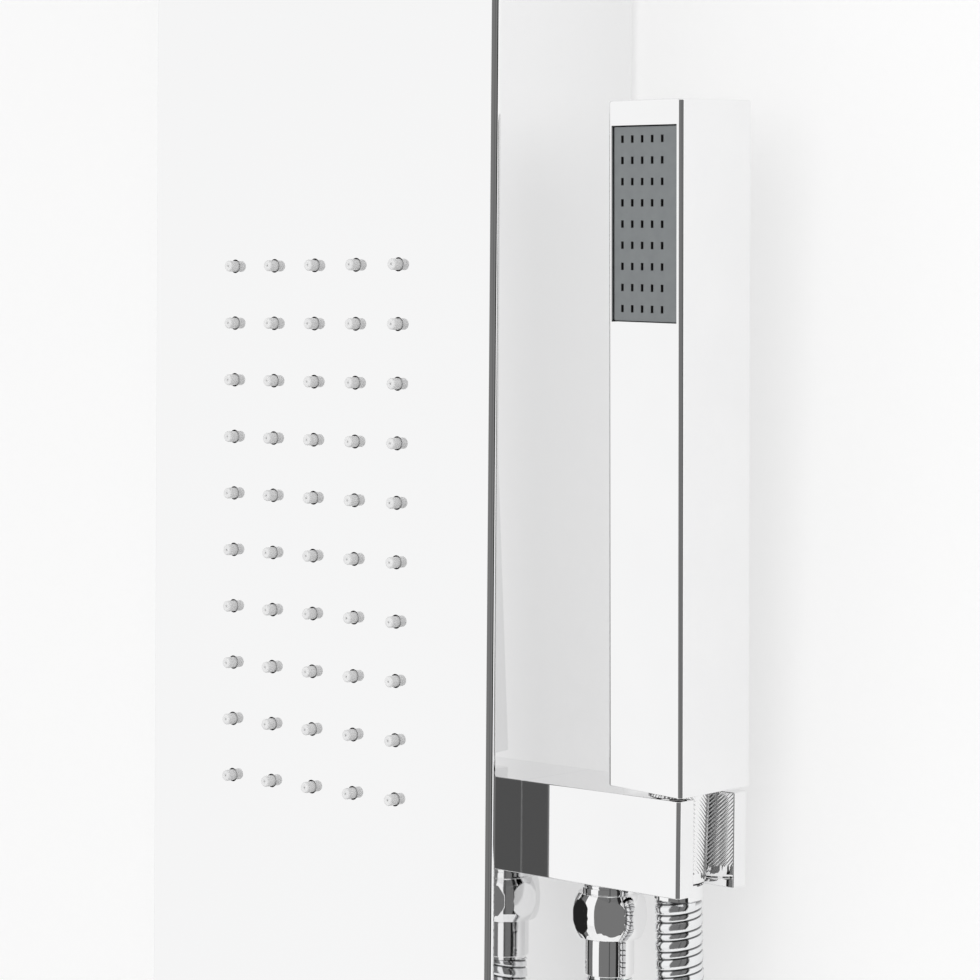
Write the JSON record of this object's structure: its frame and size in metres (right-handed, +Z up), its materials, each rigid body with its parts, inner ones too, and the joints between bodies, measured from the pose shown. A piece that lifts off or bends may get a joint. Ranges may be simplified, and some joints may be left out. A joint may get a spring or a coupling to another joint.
{
  "type": "shower panel column",
  "caption": "Wall-hung shower column of folded mirror steel with a grid of body jets, overhead rain head, two knobs and a square hand shower held in a slotted outlet arm.",
  "frame": {"origin": "middle of the upper wall bracket's two screw holes, on the wall's plane", "axes": "+Z up, +Y into the wall, +X to the right as seen from the room; the hand shower is on the +X side"},
  "size_m": [0.3566, 0.46, 1.3],
  "materials": {
    "polished_steel": "mirror polished stainless sheet",
    "chrome": "bright chrome plate",
    "zinc_steel": "plain rolled steel",
    "brass": "turned and cast brass",
    "silicone": "soft silicone, satin",
    "black_rubber": "moulded rubber",
    "white_plastic": "moulded plastic",
    "grey_plastic": "satin grey with a fine grain",
    "button_plastic": "gloss moulding",
    "braided_hose": "braided inner hose"
  },
  "bodies": {
    "root": {"arm_back_nut": "brass", "arm_gasket": "black_rubber", "arm_supply_elbow": "brass", "bottom_cap": "polished_steel", "chamber_clamp_bars": "zinc_steel", "clamp_studs_and_nuts": "zinc_steel", "cold_inlet_union": "brass", "column_shell": "polished_steel", "diverter_body": "brass", "diverter_cartridge": "white_plastic", "diverter_ring_nut": "brass", "diverter_rose": "chrome", "hand_supply_hose": "braided_hose", "hose_clips": "white_plastic", "hose_swivel_nut": "chrome", "hot_inlet_union": "brass", "jet_nozzle_mat": "silicone", "jet_supply_hose": "braided_hose", "jet_water_chamber": "white_plastic", "lower_hanger_rail": "zinc_steel", "lower_hose_ferrule": "chrome", "lower_hose_washer": "black_rubber", "lower_wall_bracket": "zinc_steel", "outlet_arm": "chrome", "outlet_nipple": "brass", "rain_face_plate": "polished_steel", "rain_head_shell": "polished_steel", "rain_inlet_elbow": "brass", "rain_nozzle_mat": "silicone", "rain_supply_hose": "braided_hose", "rain_water_chamber": "white_plastic", "shower_hose": "chrome", "thermostat_body": "brass", "thermostat_cartridge": "white_plastic", "thermostat_ring_nut": "brass", "thermostat_rose": "chrome", "upper_hanger_rail": "zinc_steel", "upper_wall_bracket": "zinc_steel", "valve_link_pipe": "brass"},
    "temperature_knob": {"temperature_knob": "chrome", "temperature_spindle": "brass", "temperature_knob_screw": "zinc_steel"},
    "safety_button": {"safety_stop_button": "button_plastic"},
    "diverter_knob": {"diverter_knob": "chrome", "diverter_spindle": "brass", "diverter_knob_screw": "zinc_steel"},
    "hose_end": {"upper_hose_ferrule": "chrome"},
    "hand_shower": {"hand_shower_body": "chrome", "hand_spray_plate": "grey_plastic", "hand_water_chamber": "white_plastic", "hand_nozzle_mat": "black_rubber", "hand_thread_insert": "brass", "hose_cone_nut": "chrome", "upper_hose_washer": "black_rubber"}
  },
  "joints": [
    {"name": "temperature_turn", "type": "hinge", "parent": "root", "child": "temperature_knob", "pos_m": [0, -0.09, -0.62], "axis": [0, -1, 0], "range_deg": [-150, 60]},
    {"name": "safety_press", "type": "slide", "parent": "temperature_knob", "child": "safety_button", "axis": [0, 0, -1], "range_m": [0, 0.0015], "stiffness_N_per_m": 600},
    {"name": "diverter_turn", "type": "hinge", "parent": "root", "child": "diverter_knob", "pos_m": [0, -0.09, -0.45], "axis": [0, -1, 0], "range_deg": [-90, 180]},
    {"name": "hose_lift", "type": "slide", "parent": "root", "child": "hose_end", "axis": [0.0209, -0.0397, 0.999], "range_m": [0, 0.06]},
    {"name": "hand_swivel", "type": "hinge", "parent": "hose_end", "child": "hand_shower", "pos_m": [0.122, -0.0348, -0.2717], "axis": [0.0209, -0.0397, 0.999], "continuous": true}
  ]
}
